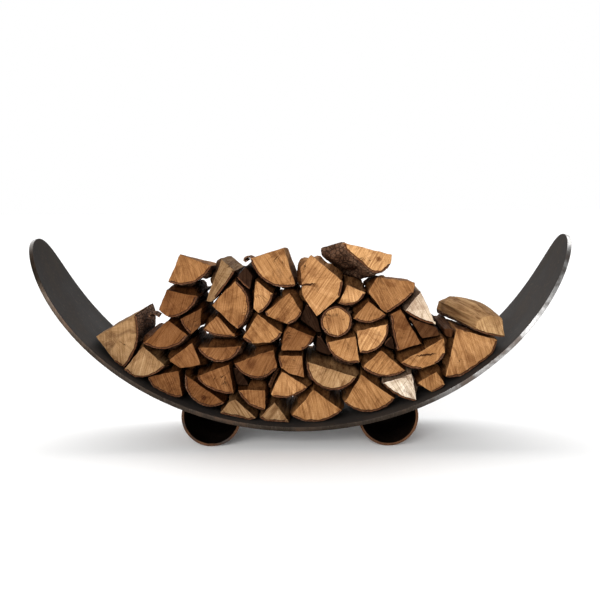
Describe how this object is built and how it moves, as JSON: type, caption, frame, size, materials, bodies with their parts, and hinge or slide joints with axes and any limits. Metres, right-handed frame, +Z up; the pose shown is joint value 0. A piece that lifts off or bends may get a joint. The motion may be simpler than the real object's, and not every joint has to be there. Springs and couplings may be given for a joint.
{
  "type": "firewood log rack",
  "caption": "Crescent firewood rack of thick rolled steel plate on half-pipe feet, loaded with split logs laid parallel to its depth.",
  "frame": {"origin": "on the floor under the middle of the crescent plate", "axes": "+X along the crescent, +Y to the back, along the logs, +Z up"},
  "size_m": [1.5588, 0.42, 0.5832],
  "materials": {
    "hot_rolled_plate": "blackened hot-rolled plate, satin",
    "rusted_pipe": "rusted pipe, matt",
    "weld_metal": "unfinished weld bead",
    "split_wood": "sawn ends, split sides and bark, matt",
    "pale_wood": "fresh pale sawn end, matt"
  },
  "bodies": {
    "root": {"crescent_plate": "hot_rolled_plate", "left_foot": "rusted_pipe", "right_foot": "rusted_pipe", "left_foot_outer_weld": "weld_metal", "left_foot_inner_weld": "weld_metal", "right_foot_outer_weld": "weld_metal", "right_foot_inner_weld": "weld_metal", "log_02": "split_wood", "log_03": "split_wood", "log_04": "split_wood", "log_05": "split_wood", "log_06": "split_wood", "log_07": "split_wood", "log_08": "split_wood", "log_09": "pale_wood", "log_10": "split_wood", "log_11": "split_wood", "log_12": "split_wood", "log_13": "split_wood", "log_14": "split_wood", "log_15": "split_wood", "log_16": "split_wood", "log_17": "split_wood", "log_18": "split_wood", "log_19": "split_wood", "log_20": "split_wood", "log_21": "split_wood", "log_22": "split_wood", "log_23": "split_wood", "log_24": "split_wood", "log_25": "split_wood", "log_26": "split_wood", "log_27": "split_wood", "log_28": "split_wood", "log_29": "split_wood", "log_30": "pale_wood", "log_31": "split_wood", "log_32": "split_wood", "log_33": "split_wood", "log_34": "split_wood", "log_35": "split_wood", "log_36": "split_wood", "log_37": "split_wood", "log_38": "split_wood", "log_39": "split_wood", "log_40": "split_wood", "log_42": "split_wood", "log_44": "split_wood", "log_45": "split_wood", "log_46": "split_wood", "log_47": "split_wood", "log_48": "split_wood", "log_49": "split_wood", "log_50": "split_wood"},
    "left_end_log": {"log_01": "split_wood"},
    "top_left_log": {"log_41": "split_wood"},
    "top_middle_log": {"log_43": "split_wood"},
    "top_right_log": {"log_51": "split_wood"},
    "right_end_log": {"log_52": "split_wood"}
  },
  "joints": [
    {"name": "left_end_log_lift", "type": "slide", "parent": "root", "child": "left_end_log", "axis": [0, 0, 1], "range_m": [0, 0.3]},
    {"name": "top_left_log_lift", "type": "slide", "parent": "root", "child": "top_left_log", "axis": [0, 0, 1], "range_m": [0, 0.3]},
    {"name": "top_middle_log_lift", "type": "slide", "parent": "root", "child": "top_middle_log", "axis": [0, 0, 1], "range_m": [0, 0.3]},
    {"name": "top_right_log_lift", "type": "slide", "parent": "root", "child": "top_right_log", "axis": [0, 0, 1], "range_m": [0, 0.3]},
    {"name": "right_end_log_lift", "type": "slide", "parent": "root", "child": "right_end_log", "axis": [0, 0, 1], "range_m": [0, 0.3]}
  ]
}
